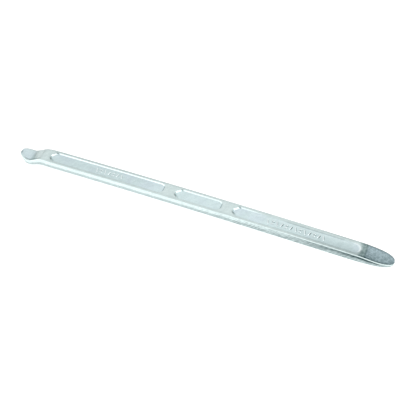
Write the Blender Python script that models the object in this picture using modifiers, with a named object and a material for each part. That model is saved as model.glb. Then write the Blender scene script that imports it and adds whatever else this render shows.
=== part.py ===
"""Forged tyre lever: one drop-forged steel bar with a hooked end and a thin flat end.

Metres, +Z up.  The lever lies along X, hooked end at -X and flat end at +X, in the
attitude it takes on a bench.  The origin is on the bench, under the middle of the
lever's bounding box.  Stations are measured along the lever from its middle.
"""
import math

import bpy
import bmesh

MM = 0.001

# Shank
LENGTH = 450 * MM
WIDTH = 20.8 * MM                # across the forged sides
GROUND_WIDTH = 20.1 * MM         # across the ground sides
THICKNESS = 10 * MM
BOW = 2.6 * MM                   # the middle stands this much above the ends
SHOULDER = 1.3 * MM              # forged radius between a face and a side
GROUND_SHOULDER_RUN = 0.5 * MM   # a steeper edge is left where the sides are ground
GROUND_SHOULDER_DROP = 1.0 * MM
PARTING_RIDGE = 0.3 * MM         # draft: the as-forged side stands out at the parting line
PARTING_HEIGHT = 0.8 * MM        # the parting line runs this much above mid height
GROUND_HOLLOW = 0.6 * MM         # the side is hollow-ground towards the flat end
GROUND_FROM = 30 * MM            # station where the sides change from forged to ground
GROUND_BLEND = 25 * MM           # the change takes this much either side of it
HOLLOW_FROM = 130 * MM
HOLLOW_TO = 195 * MM

THIN_SHARE = 0.42                # a shoulder takes no more than this share of a thin tip

# Flat end
SPOON_FROM = 190 * MM            # the top face starts to fall here
SPOON_SLOPE = 0.088              # fall of the top face per unit of length
HEEL_FROM = 178 * MM             # the underside starts to rise here
HEEL_RISE = 4.5 * MM
HEEL_POWER = 1.5
ROUND_FROM = 198 * MM            # the outline starts to narrow here
ROUND_POWER = 2.56
TIP_HALF_WIDTH = 2.2 * MM        # the flat end closes on a blunt nose this wide

# Hooked end: station, height of the top face, thickness, half width (all in mm)
HOOK = (
    (-225.0, -0.6, 2.0, 3.0),
    (-223.5, -0.5, 2.8, 4.8),
    (-220.0, -1.5, 4.4, 7.2),
    (-215.5, -3.2, 7.0, 8.9),
    (-210.5, -3.8, 7.2, 9.3),
    (-205.5, -1.7, 7.9, 9.5),
    (-200.0, 1.3, 8.8, 9.4),
    (-195.0, 3.8, 9.9, 9.5),
    (-190.0, 4.9, 10.4, 9.8),
    (-185.0, 5.0, 10.1, 10.2),
    (-180.0, 5.0, 10.0, 10.4),
)
HOOK_TO = HOOK[-1][0] * MM

# Recessed panels on both faces: first and last station, corner radius at the far end
PANELS = (
    (-184 * MM, -39 * MM, 5.5 * MM),
    (-25.5 * MM, 30.5 * MM, 5.5 * MM),
    (43.5 * MM, 188.5 * MM, 6.8 * MM),
)
PANEL_HALF_WIDTH = 7.1 * MM
PANEL_DEPTH = 1.5 * MM
PANEL_WALL_RUN = 0.95 * MM       # how far a sloped wall comes in over the depth
SHALLOW_DEPTH = 0.8 * MM         # the last panel is shallower towards the flat end
SHALLOW_FROM = 60 * MM
SHALLOW_TO = 100 * MM
PANEL_NOSE = 6.3 * MM            # length of the pointed near end
PANEL_NOSE_HALF_WIDTH = 1.2 * MM
PANEL_OVERSHOOT = 0.4 * MM       # the cutter stands this far above the face
ARC_STEPS = 5

SHANK_STEP = 12 * MM
BRIDGE_MARGIN = 0.5 * MM         # stations stand this far outside each panel end
SPOON_STATIONS = 14
HOOK_SUBSTEPS = 2
MERGE = 0.01 * MM


def clear_scene():
    for obj in list(bpy.data.objects):
        bpy.data.objects.remove(obj, do_unlink=True)


def new_collection(name):
    collection = bpy.data.collections.new(name)
    bpy.context.scene.collection.children.link(collection)
    return collection


def plated_steel():
    """Bright zinc plate over forged steel, pale blue-grey."""
    material = bpy.data.materials.new("plated_steel")
    material.use_nodes = True
    shader = material.node_tree.nodes["Principled BSDF"]
    shader.inputs["Base Color"].default_value = (0.62, 0.68, 0.70, 1.0)
    shader.inputs["Metallic"].default_value = 0.9
    shader.inputs["Roughness"].default_value = 0.38
    return material


def ramp(value, start, end):
    """0 before start, 1 after end, eased in between."""
    u = min(max((value - start) / (end - start), 0.0), 1.0)
    return u * u * (3.0 - 2.0 * u)


def hook_shape(x):
    """Top height, thickness and half width in the hooked end, on a smooth curve."""
    stations = [row[0] * MM for row in HOOK]
    last = len(HOOK) - 1
    i = max(k for k in range(last) if stations[k] <= x + 1e-9)
    span = stations[i + 1] - stations[i]
    u = (x - stations[i]) / span
    shape = []
    for column in (1, 2, 3):
        values = [row[column] * MM for row in HOOK]
        slopes = []
        for k in (i, i + 1):
            low, high = max(k - 1, 0), min(k + 1, last)
            slopes.append((values[high] - values[low]) / (stations[high] - stations[low]))
        if i + 1 == last:
            slopes[1] = 0.0
        shape.append(
            (2 * u ** 3 - 3 * u ** 2 + 1) * values[i]
            + (u ** 3 - 2 * u ** 2 + u) * span * slopes[0]
            + (3 * u ** 2 - 2 * u ** 3) * values[i + 1]
            + (u ** 3 - u ** 2) * span * slopes[1]
        )
    return shape


def ground(x):
    """0 where the sides are as forged, 1 where they are ground."""
    return ramp(x, GROUND_FROM - GROUND_BLEND, GROUND_FROM + GROUND_BLEND)


def shank_half_width(x):
    """Half width from the hook to the flat end, which has a long round outline."""
    u = min(max(x - ROUND_FROM, 0.0) / (LENGTH / 2 - ROUND_FROM), 1.0)
    rounded = (1.0 - u ** ROUND_POWER) ** (1.0 / ROUND_POWER)
    full = (WIDTH + (GROUND_WIDTH - WIDTH) * ground(x)) / 2
    return max(full * rounded, TIP_HALF_WIDTH)


def outline(x):
    """Top height, bottom height and half width at a station, before the bow."""
    if x < HOOK_TO:
        top, thickness, half_width = hook_shape(x)
        return top, top - thickness, half_width
    top = THICKNESS / 2 - SPOON_SLOPE * max(x - SPOON_FROM, 0.0)
    heel = max(x - HEEL_FROM, 0.0) / (LENGTH / 2 - HEEL_FROM)
    bottom = -THICKNESS / 2 + HEEL_RISE * heel ** HEEL_POWER
    return top, bottom, shank_half_width(x)


def bow(x):
    return BOW * (1.0 - (2.0 * x / LENGTH) ** 2)


def side_swell(x):
    """How far the side stands out at the parting line (forged) or in (hollow-ground)."""
    forged = PARTING_RIDGE * (1.0 - ground(x))
    hollow_end = ramp(x, HOLLOW_TO, LENGTH / 2)
    return forged - GROUND_HOLLOW * ramp(x, HOLLOW_FROM, HOLLOW_TO) * (1.0 - hollow_end)


def half_ring(x):
    """Points from the middle of the top face round the side to the middle of the bottom."""
    top, bottom, half_width = outline(x)
    thin = THIN_SHARE * (top - bottom)
    run = min(SHOULDER + (GROUND_SHOULDER_RUN - SHOULDER) * ground(x), thin)
    drop = min(SHOULDER + (GROUND_SHOULDER_DROP - SHOULDER) * ground(x), thin)
    corner = 1.0 - math.sqrt(0.5)
    parting = PARTING_HEIGHT * (1.0 - ground(x)) * (top - bottom) / THICKNESS
    lift = bow(x)
    section = (
        (0.0, top),
        (half_width - run, top),
        (half_width - run * corner, top - drop * corner),
        (half_width, top - drop),
        (half_width + side_swell(x), (top + bottom) / 2 + parting),
        (half_width, bottom + drop),
        (half_width - run * corner, bottom + drop * corner),
        (half_width - run, bottom),
        (0.0, bottom),
    )
    return [(x, y, z + lift) for y, z in section]


def spread(start, end, step):
    """Evenly spaced stations from start up to, but not including, end."""
    count = max(round((end - start) / step), 1)
    return [start + (end - start) * k / count for k in range(count)]


def all_stations():
    stations = []
    for left, right in zip(HOOK, HOOK[1:]):
        stations += spread(left[0] * MM, right[0] * MM, (right[0] - left[0]) * MM / HOOK_SUBSTEPS)
    breaks = [HOOK_TO]
    for (_, before, _), (after, _, _) in zip(PANELS, PANELS[1:]):
        breaks += [before + BRIDGE_MARGIN, after - BRIDGE_MARGIN]
    breaks += [0.0, HEEL_FROM]
    breaks.sort()
    for start, end in zip(breaks, breaks[1:]):
        stations += spread(start, end, SHANK_STEP)
    spoon_length = LENGTH / 2 - breaks[-1]
    for k in range(SPOON_STATIONS + 1):
        stations.append(breaks[-1] + spoon_length * math.sin(math.pi / 2 * k / SPOON_STATIONS))
    return stations


def make_lever(collection, material):
    """Half of the lever as a loft along X, closed at both tips, mirrored across Y."""
    bm = bmesh.new()
    rings = [[bm.verts.new(point) for point in half_ring(x)] for x in all_stations()]
    for here, beyond in zip(rings, rings[1:]):
        for k in range(len(here) - 1):
            bm.faces.new((here[k], here[k + 1], beyond[k + 1], beyond[k]))
    bm.faces.new(reversed(rings[0]))
    bm.faces.new(rings[-1])
    bmesh.ops.recalc_face_normals(bm, faces=bm.faces)
    mesh = bpy.data.meshes.new("forged_lever")
    bm.to_mesh(mesh)
    bm.free()
    mesh.materials.append(material)
    lever = bpy.data.objects.new("forged_lever", mesh)
    collection.objects.link(lever)
    mirror = lever.modifiers.new("both_sides", 'MIRROR')
    mirror.use_axis = (False, True, False)
    mirror.merge_threshold = MERGE
    return lever


def panel_outline(start, end, corner_radius, grow):
    """Panel outline in plan: a blunt point at its start, rounded corners at its end."""
    half_width = PANEL_HALF_WIDTH + grow
    radius = corner_radius + grow
    side = [(start - grow, PANEL_NOSE_HALF_WIDTH), (start - grow + PANEL_NOSE, half_width)]
    for k in range(ARC_STEPS + 1):
        angle = math.pi / 2 * (1.0 - k / ARC_STEPS)
        side.append((
            end + grow - radius + radius * math.cos(angle),
            half_width - radius + radius * math.sin(angle),
        ))
    return side + [(x, -y) for x, y in reversed(side)]


def make_panel_cutter(name, panel, face_side, collection):
    """A shallow tapered block that sinks one panel into the face on face_side (+1 or -1)."""
    start, end, corner_radius = panel
    taper = PANEL_WALL_RUN / PANEL_DEPTH
    height = PANEL_DEPTH + PANEL_OVERSHOOT
    points = panel_outline(start, end, corner_radius, PANEL_OVERSHOOT * taper)
    bm = bmesh.new()
    lid = bm.faces.new([bm.verts.new((x, y, THICKNESS / 2 + PANEL_OVERSHOOT)) for x, y in points])
    floor = bmesh.ops.duplicate(bm, geom=[lid])["geom"]
    floor_face = next(item for item in floor if isinstance(item, bmesh.types.BMFace))
    bmesh.ops.inset_region(bm, faces=[floor_face], thickness=height * taper, depth=0.0,
                           use_even_offset=True, use_boundary=True)
    for vert in floor_face.verts:
        vert.co.z -= height
    bmesh.ops.remove_doubles(bm, verts=bm.verts, dist=MERGE)
    for x in spread(start + SHANK_STEP / 2, end, SHANK_STEP):
        bmesh.ops.bisect_plane(bm, geom=bm.verts[:] + bm.edges[:] + bm.faces[:],
                               plane_co=(x, 0.0, 0.0), plane_no=(1.0, 0.0, 0.0))
    for vert in bm.verts:
        run_out = ramp(vert.co.x, SHALLOW_FROM, SHALLOW_TO)
        depth_share = 1.0 + (SHALLOW_DEPTH / PANEL_DEPTH - 1.0) * run_out
        sunk = (THICKNESS / 2 - vert.co.z) * depth_share
        vert.co.z = (THICKNESS / 2 - sunk) * face_side + bow(vert.co.x)
    bmesh.ops.recalc_face_normals(bm, faces=bm.faces)
    if bm.calc_volume(signed=True) < 0.0:
        bmesh.ops.reverse_faces(bm, faces=bm.faces)
    mesh = bpy.data.meshes.new(name)
    bm.to_mesh(mesh)
    bm.free()
    cutter = bpy.data.objects.new(name, mesh)
    cutter.hide_render = True
    cutter.display_type = 'WIRE'
    collection.objects.link(cutter)
    return cutter


def cut(target, cutter):
    modifier = target.modifiers.new(cutter.name, 'BOOLEAN')
    modifier.operation = 'DIFFERENCE'
    modifier.solver = 'EXACT'
    modifier.object = cutter


def lowest(points, tilt):
    """The lowest height that the points reach when the lever is turned by tilt about Y."""
    return min(z * math.cos(tilt) - x * math.sin(tilt) for x, z in points)


def bench_attitude():
    """Tilt about Y and height that stand the lever on its hook and its heel."""
    underside = [(x, outline(x)[1] + bow(x)) for x in all_stations()]
    hook_part = [point for point in underside if point[0] < 0.0]
    heel_part = [point for point in underside if point[0] > 0.0]
    low, high = -0.1, 0.1
    for _ in range(40):
        tilt = (low + high) / 2
        if lowest(hook_part, tilt) > lowest(heel_part, tilt):
            high = tilt
        else:
            low = tilt
    return tilt, -lowest(underside, tilt)


def main():
    clear_scene()
    lever_parts = new_collection("tyre_lever")
    cutters = new_collection("cutters")
    lever = make_lever(lever_parts, plated_steel())
    bench = bpy.data.objects.new("bench_attitude", None)
    lever_parts.objects.link(bench)
    lever.parent = bench
    for number, panel in enumerate(PANELS, start=1):
        for face_name, face_side in (("top", 1), ("under", -1)):
            cutter = make_panel_cutter(f"panel_{number}_{face_name}", panel, face_side, cutters)
            cutter.parent = bench
            cut(lever, cutter)
    tilt, height = bench_attitude()
    bench.rotation_euler.y = tilt
    bench.location.z = height


main()
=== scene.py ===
"""Looks for the forged tyre lever: a fine surface with its forged and ground finishes.

Metres, +Z up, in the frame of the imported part.  The shape is worked out along the
lever's own line, with stations measured from its middle, and then laid on the bench.
"""
import math

import bpy
import numpy as np
from mathutils import Matrix, Vector, noise


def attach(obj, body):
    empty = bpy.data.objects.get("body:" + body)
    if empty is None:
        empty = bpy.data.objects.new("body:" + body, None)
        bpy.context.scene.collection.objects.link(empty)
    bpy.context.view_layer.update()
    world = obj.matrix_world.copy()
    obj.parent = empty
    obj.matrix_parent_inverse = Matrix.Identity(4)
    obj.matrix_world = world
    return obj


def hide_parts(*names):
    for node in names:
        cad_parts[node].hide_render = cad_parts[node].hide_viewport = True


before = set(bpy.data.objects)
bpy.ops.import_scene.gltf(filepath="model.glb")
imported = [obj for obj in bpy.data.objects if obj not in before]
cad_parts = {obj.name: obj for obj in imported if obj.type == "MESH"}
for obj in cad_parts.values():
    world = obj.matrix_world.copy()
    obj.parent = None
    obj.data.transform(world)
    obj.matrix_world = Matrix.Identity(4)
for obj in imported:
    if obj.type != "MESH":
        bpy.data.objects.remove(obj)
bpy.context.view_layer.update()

MM = 0.001

# Shank, as in the CAD part
LENGTH = 450 * MM
WIDTH = 20.8 * MM
GROUND_WIDTH = 20.1 * MM
THICKNESS = 10 * MM
BOW = 2.6 * MM
SHOULDER = 1.3 * MM              # run and drop of the rounded edges
GROUND_SHOULDER_RUN = 0.5 * MM
GROUND_SHOULDER_DROP = 1.0 * MM
PARTING_RIDGE = 0.3 * MM
PARTING_HEIGHT = 0.8 * MM        # above mid height
GROUND_HOLLOW = 0.6 * MM
GROUND_FROM = 30 * MM
GROUND_BLEND = 25 * MM
HOLLOW_FROM = 130 * MM
HOLLOW_TO = 195 * MM
THIN_SHARE = 0.42                # an edge's rounding takes at most this share of the thickness

# Flat end, as in the CAD part
SPOON_FROM = 190 * MM
SPOON_SLOPE = 0.088
HEEL_FROM = 178 * MM
HEEL_RISE = 4.5 * MM
HEEL_POWER = 1.5
ROUND_FROM = 198 * MM
ROUND_POWER = 2.56
TIP_HALF_WIDTH = 2.2 * MM

# Hooked end, as in the CAD part: station, top height, thickness, half width, in mm
HOOK = (
    (-225.0, -0.6, 2.0, 3.0),
    (-223.5, -0.5, 2.8, 4.8),
    (-220.0, -1.5, 4.4, 7.2),
    (-215.5, -3.2, 7.0, 8.9),
    (-210.5, -3.8, 7.2, 9.3),
    (-205.5, -1.7, 7.9, 9.5),
    (-200.0, 1.3, 8.8, 9.4),
    (-195.0, 3.8, 9.9, 9.5),
    (-190.0, 4.9, 10.4, 9.8),
    (-185.0, 5.0, 10.1, 10.2),
    (-180.0, 5.0, 10.0, 10.4),
)
HOOK_TO = HOOK[-1][0] * MM
SLACK = 1e-9                     # lets a station that equals a row's fall on that row

# Standing on the bench, as in the CAD part
BENCH_STATIONS = 901
TILT_LIMIT = 0.1
TILT_STEPS = 40

# Recessed panels, as in the CAD part: start, end, radius of the round corners
PANELS = (
    (-184 * MM, -39 * MM, 5.5 * MM),
    (-25.5 * MM, 30.5 * MM, 5.5 * MM),
    (43.5 * MM, 188.5 * MM, 6.8 * MM),
)
PANEL_HALF_WIDTH = 7.1 * MM
PANEL_DEPTH = 1.5 * MM
SHALLOW_DEPTH = 0.8 * MM         # of the last panel towards the flat end
SHALLOW_FROM = 60 * MM
SHALLOW_TO = 100 * MM
PANEL_WALL_RUN = 0.95 * MM
PANEL_NOSE = 6.3 * MM
PANEL_NOSE_HALF_WIDTH = 1.2 * MM

# Finer shape of the panels
RIM_ROUNDING = 0.12 * MM         # softening of the edge between a face and a panel wall
FLOOR_ROUNDING = 0.2 * MM        # fillet between a panel wall and its floor
NOSE_ROUNDING = 0.5 * MM         # softening of the corners of the pointed end in plan
ROUND_BLEND = 0.1 * MM           # where a panel's pointed outline meets its rounded one
PANEL_RIM = 0.2 * MM             # what of a wall still counts as rim

# Raised generic marks in the panels: first station, how many, pitch
MARK_ROWS = (
    (-126 * MM, 7, 5.2 * MM),
    (82 * MM, 13, 5.2 * MM),
)
MARK_HEIGHT = 0.7 * MM
MARK_REACH = 2.8 * MM            # half the height of a mark across the panel
MARK_HALF_STROKE = 0.6 * MM
MARK_SLANT = 0.3
MARK_SHORTER = 0.3               # share taken off each second slanted bar
MARK_PAIR_REACH = 0.6            # how far out a pair's bars lie, as a share of the reach
MARK_EDGE = 0.3 * MM

# Fine mesh: stations come closer together where the shape changes quickly
COARSE_STEP = 1.0 * MM
MEDIUM_STEP = 0.6 * MM
FINE_STEP = 0.3 * MM
HOOK_MESH_REACH = 4 * MM         # how far past the hook the stations stay close
SPOON_MESH_REACH = 6 * MM        # and how far before the flat end
PANEL_END_REACH = 9 * MM
PANEL_END_INSET = 3 * MM
FACE_COLUMNS = (14, 22, 6)       # inside, over and outside the panel walls
WALL_BAND = (0.62, 0.80)         # where the walls lie, as a share of the flat's half width
ARC_COLUMNS = 8
SIDE_COLUMNS = 18
NOSE = 1.2 * MM                  # the last stretch of each tip closes on a round nose
NOSE_STEPS = 7
LAST_GAP = 1.5 * MEDIUM_STEP     # the stations stop this far before the round nose

# Painted shade: places where the plate's colour is darkened to stand in for shade and dark
# reflections, each with how much it adds: 0 adds none, 1 is nearly black.  Four stations say where a
# place fades in and out; a centre and a reach make a spot.
PAINTED_LOWER_SHADE = 0.34                # painted shade on the forged sides below the parting line
LOWER_EDGE = (-0.3, 0.15)        # as shares of the half height, downwards
PAINTED_GROUND_SHADE = 0.39               # painted shade on the ground sides near the flat end
GROUND_DULL_AT = (35 * MM, 150 * MM)
PAINTED_WEDGE_SHADE = 0.42                # painted dark reflection where the side is ground hollow under the flat end
WEDGE_AT = (110 * MM, 203 * MM, 206 * MM, 216 * MM)
PAINTED_HEART_SHADE = 0.14                # more painted dark reflection at the wedge's darkest place
HEART_AT = (180 * MM, 190 * MM, 200 * MM, 208 * MM)
WEDGE_EDGE = (-0.25, 0.3)        # as shares of the half height, upwards
PAINTED_HOOK_SHADE = 0.06                 # faint painted shade on the hook's blade
HOOK_BLADE_TO = (-208 * MM, -198 * MM)
PAINTED_NECK_SHADE = 0.07                 # a faint band of painted shade across the hook's bend
NECK_AT, NECK_REACH = -206 * MM, 5 * MM
PAINTED_HOOK_EDGE_SHADE = 0.5             # painted shade on the hook's near edge
HOOK_EDGE_AT = (-223 * MM, -216 * MM, -203 * MM, -193 * MM)
HOOK_EDGE_ACROSS = (5.5 * MM, 8 * MM)
PAINTED_LEFT_SHADE = 0.09                 # faint painted shade over the first panel
LEFT_AT = (-188 * MM, -180 * MM, -75 * MM, -40 * MM)
PAINTED_RIGHT_SHADE = 0.3                 # a gradual painted shade towards the flat end's near side
RIGHT_FROM, RIGHT_TO = 80 * MM, 190 * MM
RIGHT_ACROSS = (-9 * MM, 10 * MM)
PAINTED_RIM_SHADE = 0.07                  # faint painted shade on the flat rims beside the panels
RIM_EDGE = (PANEL_HALF_WIDTH - 0.3 * MM, PANEL_HALF_WIDTH + 0.3 * MM)
PAINTED_NOSE_SPOT_SHADE = 0.75            # painted dark reflection beside the near slant of each pointed end
NOSE_SPOT_AT = (2.0 * MM, -4.1 * MM)
NOSE_SPOT_TURN = 0.7             # about the cosine of 45 degrees, to lie along the slant
NOSE_SPOT_REACH = (2.6 * MM, 0.8 * MM)   # along and across the slant
PAINTED_CORNER_SPOT_SHADE = 0.7           # painted shade in the far corner of each pointed end
CORNER_SPOT_ALONG = (5.2 * MM, 6.2 * MM, 6.2 * MM)
CORNER_SPOT_ACROSS = PANEL_HALF_WIDTH - 0.7 * MM
CORNER_SPOT_REACH = (1.4 * MM, 0.8 * MM)
PAINTED_END_LINE_SHADE = 0.55             # painted shade on the end walls of the first two panels
END_LINE_INSET = 0.6 * MM
END_LINE_ACROSS = (-4 * MM, -2 * MM, 3 * MM, 4.5 * MM)
PAINTED_SHALLOW_LINE_SHADE = 0.32         # a line of painted shade inside the far wall of the last panel
SHALLOW_LINE_AT = (96 * MM, 110 * MM, 160 * MM, 178 * MM)
SHALLOW_LINE_ACROSS = PANEL_HALF_WIDTH - 1.1 * MM
SHALLOW_LINE_REACH = 0.6 * MM
PAINTED_FAR_RIM_SHADE = 0.25              # painted shade on the far rim beside the end of the last panel
FAR_RIM_AT = (130 * MM, 165 * MM)
FAR_RIM_ACROSS = (7.8 * MM, 9 * MM)
PAINTED_EDGE_LINE_SHADE = 0.22            # a thin line of painted shade where the flat end's dull finish starts
EDGE_LINE_AT = (SPOON_FROM + 3.8 * MM, 0)
EDGE_LINE_REACH = (0.8 * MM, 30 * MM)
PAINTED_TIP_SPOT_SHADE = 0.55             # painted shade at the hook's tip
TIP_SPOT_AT = (-223.6 * MM, -1.5 * MM)
TIP_SPOT_REACH = (1.3 * MM, 2.4 * MM)
PAINTED_SPOON_EDGE_SHADE = 0.3            # painted shade all round the flat end's face
SPOON_EDGE_GAP = (0.3 * MM, 4 * MM)
PAINTED_EDGE_SHADE = 0.3                  # painted shade on the rounded far edge of the top
PAINTED_TIP_EDGE_SHADE = 0.65             # more painted shade on it along the flat end
PAINTED_MARK_SHADOW = 0.4                  # painted shadow beside the marks
PAINTED_MARK_MORE_SHADOW = 0.55            # more painted shadow, added in the last panel
MARK_SHADE_SHIFT = (0.7 * MM, -0.6 * MM)
MARK_SHADE_FADE = 0.6            # share lost towards the marks' ends
MARK_SHADE_ACROSS = (MM, 2.4 * MM)

# Painted highlights and painted reflections, on the same scale
PAINTED_MARK_HIGHLIGHT = 1.0                # painted highlight on the tops of the marks
MARK_TOP = (-0.2 * MM, 0.1 * MM)
PAINTED_END_HIGHLIGHT = 1.0                 # painted highlight inside the round end of the last panel
END_RIM_INSET, END_RIM_REACH = 1.2 * MM, 0.8 * MM
END_AT = (176 * MM, 183 * MM)
END_ACROSS = (-7 * MM, 0)
WALL_REACH = 0.55 * MM           # half the width of a lit or dark wall
PAINTED_WALL_HIGHLIGHT = 0.8                # painted highlight on the far walls, which catch the light
WALL_FROM, WALL_TO = MM, 3 * MM  # where they start, past the pointed end
WALL_ACROSS = (3 * MM, 4.5 * MM)
WALL_FADE = 0.6                  # share lost along the middle panel
WALL_FADE_AT = (-30 * MM, 40 * MM)
WALL_END_AT = (62 * MM, 76 * MM)
PAINTED_BAND_HIGHLIGHT = 0.22               # a painted lighter band along the shallow part of the last panel
BAND_AT = (55 * MM, 70 * MM, 165 * MM, 185 * MM)
BAND_ACROSS, BAND_REACH = 4.2 * MM, 1.2 * MM
NOSE_WALL_REACH = 0.7 * MM       # painted highlight on the far wall of the first pointed end
NOSE_WALL_ACROSS = (0, 1.5 * MM)
NOSE_WALL_END = (3 * MM, 6 * MM)

# The flat end's ground face
SPOON_FADE = (-2 * MM, 4 * MM)   # it fades in from just before its start
SPOON_LINE = 4.3 * MM            # the dull finish starts this far along it
SPOON_LINE_SLANT = 0.08
SPOON_LINE_BLUR = 0.8 * MM
RUNOUT_SLANT = 0.25              # the grinding wheel's runout reaches back along the edges
RUNOUT_FADE = (-3 * MM, MM)
HOOK_FLOOR_TO = (-213 * MM, -205 * MM)   # the hook's blade takes the panels' floor tint

SKIN = 0.03 * MM                 # the fine surface lies this much inside the plain one
FORGED_WAVE = 0.035 * MM         # depth of the uneven forged skin
FLASH_HEIGHT = 0.06 * MM         # trimmed flash left along the parting line
FLASH_WIDTH = 0.35 * MM
WAVE_SCALE = 140.0               # of the forged skin, per metre
WAVELET_SCALE = 420.0
WAVELET_SHARE = 0.5
SPOON_SMOOTH = 0.8               # share of it ground away on the flat end
SPOON_SMOOTH_RUN = 6 * MM


def ramp(value, start, end):
    """0 before start, 1 after end, eased in between. Works on numbers and arrays."""
    u = np.clip((value - start) / (end - start), 0.0, 1.0)
    return u * u * (3.0 - 2.0 * u)


def between(value, start, full, fading, end):
    """1 from full to fading, 0 before start and after end, eased in between."""
    return ramp(value, start, full) * (1 - ramp(value, fading, end))


def bump(value, centre, reach):
    """1 at the centre, fading smoothly on both sides to about a third at the reach."""
    return np.exp(-((value - centre) / reach) ** 2)


def spot(x, y, centre, reach):
    """A bump along both axes at once."""
    return bump(x, centre[0], reach[0]) * bump(y, centre[1], reach[1])


# ---- the lever's outline, as in the CAD part ----

def hook_shape(x):
    """Top height, thickness and half width in the hooked end, on a smooth curve."""
    stations = [row[0] * MM for row in HOOK]
    last = len(HOOK) - 1
    i = max(k for k in range(last) if stations[k] <= x + SLACK)
    span = stations[i + 1] - stations[i]
    u = (x - stations[i]) / span
    shape = []
    for column in (1, 2, 3):
        # a cubic through the rows on both sides, with slopes taken from their neighbours
        values = [row[column] * MM for row in HOOK]
        slopes = []
        for k in (i, i + 1):
            low, high = max(k - 1, 0), min(k + 1, last)
            slopes.append((values[high] - values[low]) / (stations[high] - stations[low]))
        if i + 1 == last:
            slopes[1] = 0.0
        shape.append(
            (2 * u ** 3 - 3 * u ** 2 + 1) * values[i]
            + (u ** 3 - 2 * u ** 2 + u) * span * slopes[0]
            + (3 * u ** 2 - 2 * u ** 3) * values[i + 1]
            + (u ** 3 - u ** 2) * span * slopes[1]
        )
    return shape


def ground(x):
    """0 where the sides are as forged, 1 where they are ground."""
    return ramp(x, GROUND_FROM - GROUND_BLEND, GROUND_FROM + GROUND_BLEND)


def shank_half_width(x):
    """Half width of the bar, with the round end that the flat end has in plan."""
    u = min(max(x - ROUND_FROM, 0.0) / (LENGTH / 2 - ROUND_FROM), 1.0)
    rounded = (1.0 - u ** ROUND_POWER) ** (1.0 / ROUND_POWER)
    full = (WIDTH + (GROUND_WIDTH - WIDTH) * ground(x)) / 2
    return max(full * rounded, TIP_HALF_WIDTH)


def outline(x):
    """Top height, bottom height and half width at a station, before the bow."""
    if x < HOOK_TO:
        top, thickness, half_width = hook_shape(x)
        return top, top - thickness, half_width
    top = THICKNESS / 2 - SPOON_SLOPE * max(x - SPOON_FROM, 0.0)
    heel = max(x - HEEL_FROM, 0.0) / (LENGTH / 2 - HEEL_FROM)
    bottom = -THICKNESS / 2 + HEEL_RISE * heel ** HEEL_POWER
    return top, bottom, shank_half_width(x)


def bow(x):
    """How far the middle of the lever arches above its ends."""
    return BOW * (1.0 - (2.0 * x / LENGTH) ** 2)


def lowest(points, tilt):
    """Height of the lowest point once the lever is tilted."""
    return min(z * math.cos(tilt) - x * math.sin(tilt) for x, z in points)


def bench_matrix():
    """Turns and lifts the lever so that its hook and its heel stand on the bench."""
    stations = np.linspace(-LENGTH / 2, LENGTH / 2, BENCH_STATIONS)
    underside = [(x, outline(x)[1] + bow(x)) for x in stations]
    hook_part = [point for point in underside if point[0] < 0.0]
    heel_part = [point for point in underside if point[0] > 0.0]
    low, high = -TILT_LIMIT, TILT_LIMIT
    for _ in range(TILT_STEPS):
        tilt = (low + high) / 2
        if lowest(hook_part, tilt) > lowest(heel_part, tilt):
            high = tilt
        else:
            low = tilt
    return Matrix.Translation((0, 0, -lowest(underside, tilt))) @ Matrix.Rotation(tilt, 4, 'Y')


# ---- panels and marks ----

def soft_max(a, b, softness):
    """The larger of two values, rounded where they are nearly equal."""
    return (a + b + np.sqrt((a - b) ** 2 + softness ** 2)) / 2


def panel_distance(x, y, panel):
    """How far inside a panel's outline a point lies, in plan. Negative outside."""
    start, end, corner = panel
    side = np.abs(y)
    reach = PANEL_HALF_WIDTH - PANEL_NOSE_HALF_WIDTH
    slant = math.hypot(reach, PANEL_NOSE)
    point = (reach * (start - x) + PANEL_NOSE * (side - PANEL_NOSE_HALF_WIDTH)) / slant
    nose = soft_max(point, start - x, NOSE_ROUNDING)
    along = x - (end - corner)
    across = side - (PANEL_HALF_WIDTH - corner)
    rounded = np.hypot(np.maximum(along, 0), np.maximum(across, 0))
    rounded = rounded + np.minimum(np.maximum(along, across), 0) - corner
    return -soft_max(nose, rounded, ROUND_BLEND)


def soft_ramp(t, softness):
    """0 below 0 and t above it, rounded at the corner."""
    return (t + np.sqrt(t * t + softness * softness)) / 2


def panel_depth(x, y):
    """How far the panels sink the face at each point."""
    depth = np.zeros(np.broadcast(x, y).shape)
    for panel in PANELS:
        inside = panel_distance(x, y, panel)
        wall = soft_ramp(inside, RIM_ROUNDING) - soft_ramp(inside - PANEL_WALL_RUN, FLOOR_ROUNDING)
        depth = np.maximum(depth, wall / PANEL_WALL_RUN)
    shallow = ramp(x, SHALLOW_FROM, SHALLOW_TO)
    return depth * (PANEL_DEPTH + (SHALLOW_DEPTH - PANEL_DEPTH) * shallow)


def panel_floor(x, y):
    """1 on a panel's floor, 0 outside the panels."""
    share = np.zeros(np.broadcast(x, y).shape)
    for panel in PANELS:
        share = np.maximum(share, ramp(panel_distance(x, y, panel), PANEL_RIM, PANEL_WALL_RUN))
    return share


def mark_edge(x, y):
    """How far inside the nearest mark's outline a point lies. Negative outside."""
    inside = np.full(np.broadcast(x, y).shape, -1.0)
    for start, count, pitch in MARK_ROWS:
        for k in range(count):
            u = x - start - (k + 0.5) * pitch
            if k % 3 == 1:
                # a pair of short bars along the lever
                along = np.maximum(np.abs(u) - pitch / 5, 0.0)
                stroke = np.hypot(along, np.abs(y) - MARK_REACH * MARK_PAIR_REACH)
            else:
                # one slanted bar across it, shorter each second time
                slant = MARK_SLANT if k % 2 else -MARK_SLANT
                beyond = np.maximum(np.abs(y) - MARK_REACH * (1.0 - MARK_SHORTER * (k % 2)), 0.0)
                stroke = np.hypot(u - slant * y, beyond)
            inside = np.maximum(inside, MARK_HALF_STROKE - stroke)
    return inside


# ---- fine mesh ----

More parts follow.
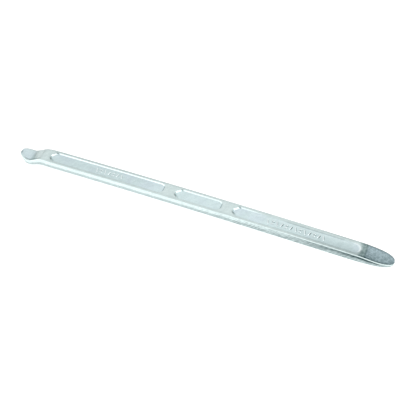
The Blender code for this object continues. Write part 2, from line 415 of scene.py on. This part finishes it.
def fine_stations():
    """Stations along the lever, closer together at tips, panel ends and marks."""
    def step_at(x):
        if x < HOOK_TO + HOOK_MESH_REACH or x > SPOON_FROM - SPOON_MESH_REACH:
            return MEDIUM_STEP
        for start, end, _ in PANELS:
            from_ends = (abs(x - start - PANEL_NOSE / 2), abs(x - end + PANEL_END_INSET))
            if min(from_ends) < PANEL_END_REACH:
                return FINE_STEP
        for start, count, pitch in MARK_ROWS:
            if start - MM < x < start + count * pitch + MM:
                return FINE_STEP
        return COARSE_STEP

    first, last = -LENGTH / 2, LENGTH / 2
    nose = [NOSE * (1.0 - math.cos(math.pi / 2 * k / NOSE_STEPS)) for k in range(1, NOSE_STEPS + 1)]
    stations = [first + d for d in nose]
    while stations[-1] < last - NOSE - LAST_GAP:
        stations.append(stations[-1] + step_at(stations[-1]))
    return stations + [last - d for d in reversed(nose)]


def ring_plan():
    """For a quarter turn of the section: (part, share along it) from the top's middle down."""
    bounds = (0.0, *WALL_BAND, 1.0)
    face = []
    for columns, start, end in zip(FACE_COLUMNS, bounds, bounds[1:]):
        face += [("face", start + (end - start) * k / columns) for k in range(columns)]
    arc = [("arc", k / ARC_COLUMNS) for k in range(ARC_COLUMNS)]
    side = [("side", 2 * k / SIDE_COLUMNS) for k in range(SIDE_COLUMNS // 2)]
    return face + arc + side


def section(x):
    """One closed ring of (y, z) with, for each point, its share down the side and on an arc."""
    top, bottom, half_width = outline(x)
    ground_here = float(ground(x))
    thin = THIN_SHARE * (top - bottom)
    run = min(SHOULDER + (GROUND_SHOULDER_RUN - SHOULDER) * ground_here, thin)
    drop = min(SHOULDER + (GROUND_SHOULDER_DROP - SHOULDER) * ground_here, thin)
    middle = (top + bottom) / 2
    half_side = (top - bottom) / 2 - drop
    tip_gap = min(x + LENGTH / 2, LENGTH / 2 - x)
    closing = math.sqrt(max(1.0 - (1.0 - min(tip_gap / NOSE, 1.0)) ** 2, 0.0))
    hollow = GROUND_HOLLOW * float(ramp(x, HOLLOW_FROM, HOLLOW_TO))
    hollow *= 1.0 - float(ramp(x, HOLLOW_TO, LENGTH / 2))
    ridge = PARTING_RIDGE * (1.0 - ground_here)
    flash = FLASH_HEIGHT * (1.0 - ground_here)
    parting = PARTING_HEIGHT * (1.0 - ground_here) * half_side / (THICKNESS / 2)

    def flank(share):
        """Side point at a share of the way from the upper arc (1) to the lower arc (-1)."""
        height = half_side * share
        if height > parting:
            fall = (height - parting) / (half_side - parting)
            swell = (ridge - flash) * (1.0 - fall * fall)
        else:
            swell = (ridge - flash) * (1.0 - (parting - height) / (parting + half_side))
        swell += flash * math.exp(-((height - parting) / FLASH_WIDTH) ** 2)
        return half_width - SKIN + swell - hollow * (1.0 - share * share), height, 1.0, 0.0

    upper = []
    lower = []
    for part, share in ring_plan():
        if part == "face":
            y = (half_width - run) * share
            upper.append((y, top - middle, 0.0, 0.0))
            lower.append((y, bottom - middle, 0.0, 0.0))
        elif part == "arc":
            angle = math.pi / 2 * (1.0 - share)
            y = half_width - run + run * math.cos(angle)
            z = half_side + drop * math.sin(angle)
            upper.append((y, z, 0.0, 1.0))
            lower.append((y, -z, 0.0, 1.0))
        else:
            upper.append(flank(1.0 - share))
            lower.append(flank(share - 1.0))
    right = upper + [flank(0.0)] + lower[:0:-1]
    ring = right + [(0.0, bottom - middle, 0.0, 0.0)]
    ring += [(-y, z, s, a) for y, z, s, a in reversed(right[1:])]
    return [(y * closing, middle + z * closing, s, a) for y, z, s, a in ring]


def forged_wave(points, scale):
    """Uneven skin of a forging, from -1 to 0, without seams."""
    values = np.empty(len(points))
    for k, (x, y, z) in enumerate(points):
        values[k] = noise.noise(Vector((x * scale, y * scale, z * scale)))
    return (np.clip(values, -1, 1) - 1) / 2


def flat_end(x):
    """0 on the bar, 1 on the flat end."""
    return ramp(x - SPOON_FROM, *SPOON_FADE)


def spoon_line(y):
    """Where the flat end's matte finish starts: a slightly slanting line across the top."""
    return SPOON_FROM + SPOON_LINE + SPOON_LINE_SLANT * y


def far_walls(x, y):
    """1 on the panel walls along the far side, up to the round corners at their ends."""
    share = np.zeros(x.shape)
    for panel in PANELS:
        wall = bump(panel_distance(x, y, panel), PANEL_WALL_RUN / 2, WALL_REACH)
        nose_end = panel[0] + PANEL_NOSE
        past_nose = ramp(x, nose_end + WALL_FROM, nose_end + WALL_TO)
        share = np.maximum(share, wall * past_nose * ramp(y, *WALL_ACROSS))
    return share


def end_lines(x, y):
    """1 on the middle of the end walls of the first two panels."""
    share = np.zeros(x.shape)
    for _, end, _ in PANELS[:2]:
        wall = bump(x, end - END_LINE_INSET, WALL_REACH)
        share = np.maximum(share, wall * between(y, *END_LINE_ACROSS))
    return share


def first_nose_wall(x, y):
    """1 on the far wall of the first panel's pointed end."""
    wall = bump(panel_distance(x, y, PANELS[0]), PANEL_WALL_RUN / 2, NOSE_WALL_REACH)
    return wall * ramp(y, *NOSE_WALL_ACROSS) * (1 - ramp(x - PANELS[0][0], *NOSE_WALL_END))


def painted_face_highlights(x, y, mark):
    """Painted highlights on the raised marks, the lit panel walls and the last panel's round end."""
    tops = ramp(mark, *MARK_TOP)
    round_end = bump(panel_distance(x, y, PANELS[2]), END_RIM_INSET, END_RIM_REACH)
    round_end = round_end * ramp(x, *END_AT) * ramp(y, *END_ACROSS)
    walls = far_walls(x, y) * (1 - WALL_FADE * ramp(x, *WALL_FADE_AT)) * (1 - ramp(x, *WALL_END_AT))
    band = between(x, *BAND_AT) * bump(y, BAND_ACROSS, BAND_REACH)
    painted_highlight = PAINTED_MARK_HIGHLIGHT * tops + PAINTED_END_HIGHLIGHT * round_end + PAINTED_WALL_HIGHLIGHT * walls + PAINTED_BAND_HIGHLIGHT * band
    return np.clip(painted_highlight + first_nose_wall(x, y), 0, 1)


def painted_side_shade(x, up):
    """Painted shade on the sides, with up running from -1 at the bottom to 1 at the top."""
    forged = PAINTED_LOWER_SHADE * ramp(-up, *LOWER_EDGE)
    away = forged + (PAINTED_GROUND_SHADE - forged) * ramp(x, *GROUND_DULL_AT)
    hollow = PAINTED_WEDGE_SHADE * between(x, *WEDGE_AT) + PAINTED_HEART_SHADE * between(x, *HEART_AT)
    away = away + hollow * ramp(up, *WEDGE_EDGE)
    return forged + (away - forged) * ground(x)


def painted_hook_shade(x, y):
    """Painted shade on the hook's face: its blade, its bend, its near edge and its tip."""
    blade = 1 - ramp(x, *HOOK_BLADE_TO)
    near_edge = between(x, *HOOK_EDGE_AT) * ramp(-y, *HOOK_EDGE_ACROSS)
    painted_shade = PAINTED_HOOK_SHADE * blade + PAINTED_NECK_SHADE * bump(x, NECK_AT, NECK_REACH)
    return painted_shade + PAINTED_HOOK_EDGE_SHADE * near_edge + PAINTED_TIP_SPOT_SHADE * spot(x, y, TIP_SPOT_AT, TIP_SPOT_REACH)


def painted_nose_shade(x, y):
    """Painted dark spots at each pointed end: a dark reflection beside its near slant and shade in
    its far corner.
    """
    painted_shade = np.zeros(x.shape)
    for (start, _, _), along in zip(PANELS, CORNER_SPOT_ALONG):
        u, v = x - start - NOSE_SPOT_AT[0], y - NOSE_SPOT_AT[1]
        u, v = (u - v) * NOSE_SPOT_TURN, (u + v) * NOSE_SPOT_TURN
        corner = (start + along, CORNER_SPOT_ACROSS)
        painted_shade = painted_shade + PAINTED_NOSE_SPOT_SHADE * spot(u, v, (0, 0), NOSE_SPOT_REACH)
        painted_shade = painted_shade + PAINTED_CORNER_SPOT_SHADE * spot(x, y, corner, CORNER_SPOT_REACH)
    return painted_shade


def painted_face_shade(x, y):
    """Painted shade on the top face."""
    painted_shade = painted_hook_shade(x, y) + painted_nose_shade(x, y) + PAINTED_LEFT_SHADE * between(x, *LEFT_AT)
    painted_shade = painted_shade + PAINTED_RIGHT_SHADE * ramp(x, RIGHT_FROM, RIGHT_TO) * ramp(-y, *RIGHT_ACROSS)
    painted_shade = painted_shade + PAINTED_RIM_SHADE * ramp(np.abs(y), *RIM_EDGE) + PAINTED_END_LINE_SHADE * end_lines(x, y)
    line = between(x, *SHALLOW_LINE_AT) * bump(y, SHALLOW_LINE_ACROSS, SHALLOW_LINE_REACH)
    far_rim = ramp(x, *FAR_RIM_AT) * ramp(y, *FAR_RIM_ACROSS) * (1 - flat_end(x))
    painted_shade = painted_shade + PAINTED_SHALLOW_LINE_SHADE * line + PAINTED_FAR_RIM_SHADE * far_rim
    return painted_shade + PAINTED_EDGE_LINE_SHADE * spot(x, y, EDGE_LINE_AT, EDGE_LINE_REACH)


def painted_mark_shadow(x, y, mark):
    """Slight painted shadow on one side of the raised marks."""
    shade = ramp(mark_edge(x - MARK_SHADE_SHIFT[0], y - MARK_SHADE_SHIFT[1]), -MARK_EDGE, MARK_EDGE)
    shade = shade * (1 - ramp(mark, -MARK_EDGE, 0.0))
    shade = shade * (1 - MARK_SHADE_FADE * ramp(np.abs(y), *MARK_SHADE_ACROSS))
    return shade * (PAINTED_MARK_SHADOW + PAINTED_MARK_MORE_SHADOW * ground(x))


def skin_offset(points, x):
    """How far the uneven forged skin lies inside the smooth one. Never positive."""
    flat_points = points.reshape(-1, 3)
    wave = forged_wave(flat_points, WAVE_SCALE).reshape(x.shape)
    wave = wave + WAVELET_SHARE * forged_wave(flat_points, WAVELET_SCALE).reshape(x.shape)
    smooth = SPOON_SMOOTH * ramp(x, SPOON_FROM, SPOON_FROM + SPOON_SMOOTH_RUN)
    return FORGED_WAVE * (1 - smooth) * wave


def share_along(x):
    """A station as a share of the lever's length, from 0 at the hook's tip to 1."""
    return x / LENGTH + 0.5


def lever_surface():
    """Points of all rings, their attributes, and the number of points in a ring."""
    stations = fine_stations()
    rings = [section(x) for x in stations]
    count = len(rings[0])
    data = np.array(rings)
    x = np.repeat(np.array(stations)[:, None], count, axis=1)
    y, z, side, arc = (data[..., k] for k in range(4))
    middle = (z.max(1) + z.min(1))[:, None] / 2
    half_height = (z.max(1) - z.min(1))[:, None] / 2
    edge_gap = y.max(1)[:, None] - np.abs(y)
    face_sign = np.where(z > middle, 1.0, -1.0)
    up = (z - middle) / half_height
    on_face = (1 - side) * (1 - arc)
    on_top = on_face * (face_sign > 0)

    mark = mark_edge(x, y)
    sunk = panel_depth(x, y) * on_face
    raised = MARK_HEIGHT * ramp(mark, -MARK_EDGE, MARK_EDGE) * on_top
    z = z - face_sign * (sunk - raised + SKIN)
    points = np.stack([x, y, z], -1)
    skin = skin_offset(points, x)
    points[..., 1] += skin * side * np.sign(y) * (1 - ground(x))
    points[..., 2] += skin * face_sign * (1 - side)
    points[..., 2] += bow(x)

    # Painted shade and painted highlights, set in the plate's colour by position
    spoon_rim = flat_end(x) * (1 - ramp(edge_gap, *SPOON_EDGE_GAP))
    painted_top_shade = painted_face_shade(x, y) + PAINTED_SPOON_EDGE_SHADE * spoon_rim + painted_mark_shadow(x, y, mark)
    far_edge = arc * (face_sign > 0) * (y > 0)
    painted_shade = side * painted_side_shade(x, up) + on_top * painted_top_shade
    painted_shade = painted_shade + far_edge * (PAINTED_EDGE_SHADE + PAINTED_TIP_EDGE_SHADE * flat_end(x))
    runout = ramp(x - SPOON_FROM + RUNOUT_SLANT * np.abs(y), *RUNOUT_FADE)
    traits = {
        "side": side,
        "arc": arc,
        "floor": np.maximum(panel_floor(x, y), 1 - ramp(x, *HOOK_FLOOR_TO)) * on_face,
        "station": share_along(x),
        # the next two carry painted shade and painted highlights
        "painted_shade": painted_shade,
        "painted_highlight": on_top * painted_face_highlights(x, y, mark),
        "runout": on_face * runout,
        "spoon": on_face * ramp(x - spoon_line(y), -SPOON_LINE_BLUR, SPOON_LINE_BLUR),
    }
    return points, traits, count


def make_lever(material):
    """The lever as one closed mesh: the rings joined by quads, with a fan over each tip."""
    points, traits, count = lever_surface()
    rings = len(points)
    verts = points.reshape(-1, 3)
    poles = [points[0].mean(0), points[-1].mean(0)]
    poles[0][0], poles[1][0] = -LENGTH / 2, LENGTH / 2
    verts = np.vstack([verts, poles])
    here = np.arange(rings - 1)[:, None] * count + np.arange(count)[None, :]
    around = np.arange(rings - 1)[:, None] * count + (np.arange(count)[None, :] + 1) % count
    quads = np.stack([here, here + count, around + count, around], -1).reshape(-1, 4)
    first, last = rings * count, rings * count + 1
    end = (rings - 1) * count
    fans = [(k, (k + 1) % count, first) for k in range(count)]
    fans += [(end + (k + 1) % count, end + k, last) for k in range(count)]
    mesh = bpy.data.meshes.new("tyre_lever")
    mesh.from_pydata(verts.tolist(), [], quads.tolist() + fans)
    for name, values in traits.items():
        attribute = mesh.attributes.new(name, 'FLOAT', 'POINT')
        ends = [values[0].mean(), values[-1].mean()]
        attribute.data.foreach_set("value", np.concatenate([values.ravel(), ends]).astype(np.float32))
    mesh.transform(bench_matrix())
    mesh.update()
    mesh.shade_smooth()
    mesh.materials.append(material)
    lever = bpy.data.objects.new("tyre_lever", mesh)
    bpy.context.scene.collection.objects.link(lever)
    return lever


# ---- materials ----

class Nodes:
    """Short helpers for building one material's node tree."""

    def __init__(self, name):
        self.material = bpy.data.materials.new(name)
        self.material.use_nodes = True
        self.tree = self.material.node_tree
        self.shader = self.tree.nodes["Principled BSDF"]

    def add(self, kind, **settings):
        node = self.tree.nodes.new(kind)
        for key, value in settings.items():
            setattr(node, key, value)
        return node

    def link(self, source, target):
        self.tree.links.new(source, target)

    def attribute(self, name):
        return self.add('ShaderNodeAttribute', attribute_name=name).outputs["Fac"]

    def mix_colour(self, factor, low, high, blend='MIX'):
        """A Mix node's factor is its input 0, and its colours are inputs 6 and 7."""
        node = self.add('ShaderNodeMix', data_type='RGBA', blend_type=blend)
        for index, value in ((0, factor), (6, low), (7, high)):
            self.feed(node.inputs[index], value)
        return node.outputs[2]

    def math(self, operation, first, second, third=0.0, clamp=False):
        node = self.add('ShaderNodeMath', operation=operation, use_clamp=clamp)
        for socket, value in zip(node.inputs, (first, second, third)):
            self.feed(socket, value)
        return node.outputs[0]

    def feed(self, socket, value):
        """Links a socket, or sets its colour or number."""
        if isinstance(value, bpy.types.NodeSocket):
            self.link(value, socket)
        elif isinstance(value, tuple) and len(value) == 3:
            socket.default_value = (*value, 1.0)
        else:
            socket.default_value = value

    def span(self, value, low, high):
        """0 at low and 1 at high, eased in between. Falls as the value rises where high is less."""
        node = self.add('ShaderNodeMapRange', interpolation_type='SMOOTHSTEP')
        self.feed(node.inputs["Value"], value)
        node.inputs["From Min"].default_value = low
        node.inputs["From Max"].default_value = high
        return node.outputs["Result"]

    def noise(self, scale, detail=2.0, roughness=0.5, stretch=(1, 1, 1), turn=(0, 0, 0)):
        """Noise with about scale features to the metre, drawn out by stretch and turned."""
        place = self.add('ShaderNodeTexCoord')
        mapping = self.add('ShaderNodeMapping', vector_type='TEXTURE')
        mapping.inputs["Scale"].default_value = stretch
        mapping.inputs["Rotation"].default_value = turn
        self.link(place.outputs["Object"], mapping.inputs["Vector"])
        node = self.add('ShaderNodeTexNoise')
        self.link(mapping.outputs["Vector"], node.inputs["Vector"])
        node.inputs["Scale"].default_value = scale
        node.inputs["Detail"].default_value = detail
        node.inputs["Roughness"].default_value = roughness
        return node.outputs["Fac"]


FACE_TINT = (0.73, 0.845, 0.835)
FLOOR_TINT = (0.735, 0.878, 0.885)
LILAC_TINT = (0.735, 0.86, 0.895)
# painted light: the face tint made lighter on the sides, to brighten their reflection
PAINTED_LIGHT_SIDE_TINT = (0.82, 0.95, 0.945)
# colour of the painted highlights
PAINTED_HIGHLIGHT_TINT = (0.89, 0.975, 0.985)
SPOON_TINT = (0.47, 0.595, 0.635)
RUNOUT_TINT = (0.38, 0.49, 0.485)
# colour of the painted shade, also used for the random mottle and grinding lines
PAINTED_SHADE_AND_MOTTLE_TINT = (0.03, 0.075, 0.08)
GRAIN_TINT = (0.88, 0.89, 0.90)  # the darkest that the grain makes the plate, as a factor
WHITE = (1.0, 1.0, 1.0)

# Where and how steeply the grinding lines run
HATCH_TURN = (0.0, 0.75, 0.0)    # of the lines on the sides, in radians
HATCH_FROM, HATCH_TO = GROUND_FROM - 90 * MM, GROUND_FROM + 30 * MM

# How dark each pattern makes the plate at most, on the scale of the painted shade
BLOTCH_DARK = 0.05
RUNOUT_BLOTCH_DARK = 0.24        # added on the flat end
CLOUD_DARK = 0.06
HATCH_DARK = 0.2

PLATE_ROUGHNESS = 0.24
HAMMER_ROUGHNESS = 0.12          # added at most by the hammered pattern
RUNOUT_ROUGHNESS = 0.16          # added on the flat end

# How much each pattern adds to the bump, as shares of its depth
BUMP_DEPTH = 0.06 * MM
BUMP_STRENGTH = 0.35
HAMMER_BUMP = 0.5
GRAIN_BUMP = 0.22
SIDE_LINE_BUMP = 2.2
FINE_HATCH_SHARE = 0.4           # of the finer grinding lines beside the coarser ones
FACE_LINE_BUMP = 0.5


def plated_steel():
    """Bright zinc plate: forged skin, diagonal grinding on the sides, matte ground flat end, with
    painted shade and painted highlights set by position.
    """
    n = Nodes("plated_steel")
    side = n.attribute("side")
    floor = n.attribute("floor")
    runout = n.attribute("runout")
    is_ground = n.span(n.attribute("station"), share_along(HATCH_FROM), share_along(HATCH_TO))
    on_top = n.math('SUBTRACT', 1.0, n.math('ADD', side, n.attribute("arc")), clamp=True)
    ground_side = n.math('MULTIPLY', side, is_ground)

    patches = n.noise(scale=45.0, detail=3.0)
    blotches = n.noise(scale=450.0, detail=3.0, roughness=0.6)
    cloud = n.noise(scale=260.0, stretch=(1.0, 2.5, 1.0), turn=(0.0, 0.0, -0.7))
    hammer = n.noise(scale=420.0)
    grain = n.noise(scale=2600.0, detail=3.0, roughness=0.6)
    top_lines = n.noise(scale=900.0, roughness=0.6, stretch=(1.0, 6.0, 1.0), turn=(0.0, 0.0, -0.6))
    hatch = n.noise(scale=820.0, roughness=0.55, stretch=(1.0, 1.0, 7.0), turn=HATCH_TURN)
    fine_hatch = n.noise(scale=2200.0, detail=1.0, stretch=(1.0, 1.0, 10.0), turn=HATCH_TURN)

    plate = n.mix_colour(floor, FACE_TINT, FLOOR_TINT)
    lilac = n.math('MULTIPLY', n.span(patches, low=0.45, high=0.65), floor)
    plate = n.mix_colour(lilac, plate, LILAC_TINT)
    # painted light: a lighter copy of the plate on the sides
    plate = n.mix_colour(side, plate, PAINTED_LIGHT_SIDE_TINT)
    flat_end_tint = n.mix_colour(n.attribute("spoon"), RUNOUT_TINT, SPOON_TINT)
    plate = n.mix_colour(runout, plate, flat_end_tint)

    blotch_dark = n.math('MULTIPLY_ADD', runout, RUNOUT_BLOTCH_DARK, BLOTCH_DARK)
    mottle = n.math('MULTIPLY', n.span(blotches, low=0.62, high=0.40), blotch_dark)
    mottle = n.math('MULTIPLY_ADD', n.span(cloud, low=0.6, high=0.4), CLOUD_DARK, mottle)
    lines = n.math('MULTIPLY', n.span(hatch, low=0.6, high=0.4), ground_side)
    mottle = n.math('MULTIPLY_ADD', lines, HATCH_DARK, mottle)
    # painted shade from the attribute, plus the random mottle and grinding lines
    dark = n.math('ADD', n.attribute("painted_shade"), mottle, clamp=True)
    plate = n.mix_colour(dark, plate, PAINTED_SHADE_AND_MOTTLE_TINT)
    # painted highlights
    plate = n.mix_colour(n.attribute("painted_highlight"), plate, PAINTED_HIGHLIGHT_TINT)
    speckle = n.mix_colour(n.span(grain, low=0.35, high=0.65), GRAIN_TINT, WHITE)
    plate = n.mix_colour(1.0, plate, speckle, blend='MULTIPLY')
    n.link(plate, n.shader.inputs["Base Color"])

    rough = n.math('MULTIPLY_ADD', hammer, HAMMER_ROUGHNESS, PLATE_ROUGHNESS)
    rough = n.math('MULTIPLY_ADD', runout, RUNOUT_ROUGHNESS, rough)
    n.link(rough, n.shader.inputs["Roughness"])
    n.shader.inputs["Metallic"].default_value = 1.0

    height = n.math('MULTIPLY_ADD', grain, GRAIN_BUMP, n.math('MULTIPLY', hammer, HAMMER_BUMP))
    side_lines = n.math('MULTIPLY_ADD', fine_hatch, FINE_HATCH_SHARE, hatch)
    side_lines = n.math('MULTIPLY', side_lines, ground_side)
    height = n.math('MULTIPLY_ADD', side_lines, SIDE_LINE_BUMP, height)
    face_lines = n.math('MULTIPLY', n.math('MULTIPLY', top_lines, on_top), is_ground)
    height = n.math('MULTIPLY_ADD', face_lines, FACE_LINE_BUMP, height)
    relief = n.add('ShaderNodeBump')
    relief.inputs["Strength"].default_value = BUMP_STRENGTH
    relief.inputs["Distance"].default_value = BUMP_DEPTH
    n.link(height, relief.inputs["Height"])
    n.link(relief.outputs["Normal"], n.shader.inputs["Normal"])
    return n.material


FLOOR_GREY = 0.38
FLOOR_ROUGHNESS = 0.8
FLOOR_GLOW = 0.8


def floor_paint():
    """Pale light table, open from below so that the underside can be seen."""
    n = Nodes("pale_floor")
    n.shader.inputs["Base Color"].default_value = (FLOOR_GREY, FLOOR_GREY, FLOOR_GREY, 1.0)
    n.shader.inputs["Roughness"].default_value = FLOOR_ROUGHNESS
    n.shader.inputs["Emission Color"].default_value = (*WHITE, 1.0)
    n.shader.inputs["Emission Strength"].default_value = FLOOR_GLOW
    facing = n.add('ShaderNodeNewGeometry')
    clear = n.add('ShaderNodeBsdfTransparent')
    mix = n.add('ShaderNodeMixShader')
    n.link(facing.outputs["Backfacing"], mix.inputs[0])
    n.link(n.shader.outputs[0], mix.inputs[1])
    n.link(clear.outputs[0], mix.inputs[2])
    n.link(mix.outputs[0], n.tree.nodes["Material Output"].inputs["Surface"])
    return n.material


# ---- stage, light and camera ----

FLOOR_SIZE = 12.0
CAMERA_AZIMUTH = 22.15           # angles in degrees
CAMERA_ELEVATION = 48.47
CAMERA_ROLL = -0.66
CAMERA_DISTANCE = 0.8219
CAMERA_AIM = Vector((0.01695, -0.00621, 0.012))
CAMERA_LENS = 64.33              # in millimetres, as is the sensor's width
SENSOR_WIDTH = 36.0


def direction(azimuth, elevation):
    """Unit vector from the object towards a compass angle: 0 is -Y, 90 is +X."""
    a, e = math.radians(azimuth), math.radians(elevation)
    return Vector((math.sin(a) * math.cos(e), -math.cos(a) * math.cos(e), math.sin(e)))


def make_floor():
    """A wide plane that the lever lies on."""
    bpy.ops.mesh.primitive_plane_add(size=FLOOR_SIZE, location=(0, 0, 0))
    floor = bpy.context.object
    floor.name = "studio_floor"
    floor.data.materials.append(floor_paint())


def make_softbox(name, azimuth, elevation, distance, width, height, radiance):
    """A rectangular light that faces the lever, with the radiance that its surface shows."""
    light = bpy.data.lights.new(name, 'AREA')
    light.shape = 'RECTANGLE'
    light.size, light.size_y = width, height
    light.energy = radiance * math.pi * width * height
    lamp = bpy.data.objects.new(name, light)
    lamp.location = direction(azimuth, elevation) * distance
    lamp.rotation_mode = 'QUATERNION'
    lamp.rotation_quaternion = (-direction(azimuth, elevation)).to_track_quat('-Z', 'Y')
    bpy.context.scene.collection.objects.link(lamp)


# Light levels of the sky on the far and on the near side, each after its height above the
# horizon, from 0 at the horizon to 1 straight up
FAR_SKY = (
    (0.0, 0.3),
    (0.06, 0.45),
    (0.16, 0.8),
    (0.3, 0.9),
    (0.75, 1.02),
    (1.0, 0.92),
)
NEAR_SKY = (
    (0.0, 2.2),
    (0.27, 2.0),
    (0.37, 0.97),
    (0.6, 0.9),
    (1.0, 0.92),
)
SKY_STRENGTH = 2.0
FAR_FROM, NEAR_FROM = 0.2, -0.3  # where one sky turns into the other, along Y


def sky_levels(tree, height, levels):
    """Light level against height above the horizon, as a share of the sky's strength."""
    node = tree.nodes.new('ShaderNodeValToRGB')
    tree.links.new(height, node.inputs[0])
    stops = node.color_ramp.elements
    for k, (place, level) in enumerate(levels):
        stop = stops[k] if k < 2 else stops.new(place)
        stop.position = place
        share = level / SKY_STRENGTH
        stop.color = (share, share, share, 1.0)
    return node.outputs[0]


def make_sky():
    """Soft tent: a strong low wall of light on the near side, a darker gap along the far horizon."""
    world = bpy.data.worlds.new("studio")
    bpy.context.scene.world = world
    world.use_nodes = True
    tree = world.node_tree
    place = tree.nodes.new('ShaderNodeTexCoord')
    split = tree.nodes.new('ShaderNodeSeparateXYZ')
    tree.links.new(place.outputs["Generated"], split.inputs[0])
    near = tree.nodes.new('ShaderNodeMapRange')
    near.interpolation_type = 'SMOOTHSTEP'
    near.inputs["From Min"].default_value = FAR_FROM
    near.inputs["From Max"].default_value = NEAR_FROM
    tree.links.new(split.outputs["Y"], near.inputs["Value"])
    mix = tree.nodes.new('ShaderNodeMix')
    mix.data_type = 'RGBA'
    tree.links.new(near.outputs["Result"], mix.inputs[0])
    tree.links.new(sky_levels(tree, split.outputs["Z"], FAR_SKY), mix.inputs[6])
    tree.links.new(sky_levels(tree, split.outputs["Z"], NEAR_SKY), mix.inputs[7])
    background = tree.nodes["Background"]
    tree.links.new(mix.outputs[2], background.inputs["Color"])
    background.inputs["Strength"].default_value = SKY_STRENGTH


def make_camera():
    """The camera looks at its aim from its azimuth and elevation, and is rolled a little."""
    data = bpy.data.cameras.new("camera")
    data.lens = CAMERA_LENS
    data.sensor_width = SENSOR_WIDTH
    camera = bpy.data.objects.new("camera", data)
    back = direction(CAMERA_AZIMUTH, CAMERA_ELEVATION)
    camera.location = CAMERA_AIM + back * CAMERA_DISTANCE
    look = (-back).to_track_quat('-Z', 'Y')
    camera.rotation_mode = 'QUATERNION'
    roll = Matrix.Rotation(math.radians(CAMERA_ROLL), 4, 'Z').to_quaternion()
    camera.rotation_quaternion = look @ roll
    bpy.context.scene.collection.objects.link(camera)
    bpy.context.scene.camera = camera


make_camera()
make_floor()
make_sky()
make_softbox("side", azimuth=75, elevation=50, distance=1.6, width=0.9, height=0.9, radiance=2.0)
bpy.context.scene.view_settings.view_transform = 'Standard'

lever = make_lever(plated_steel())
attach(lever, "root")
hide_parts("forged_lever")
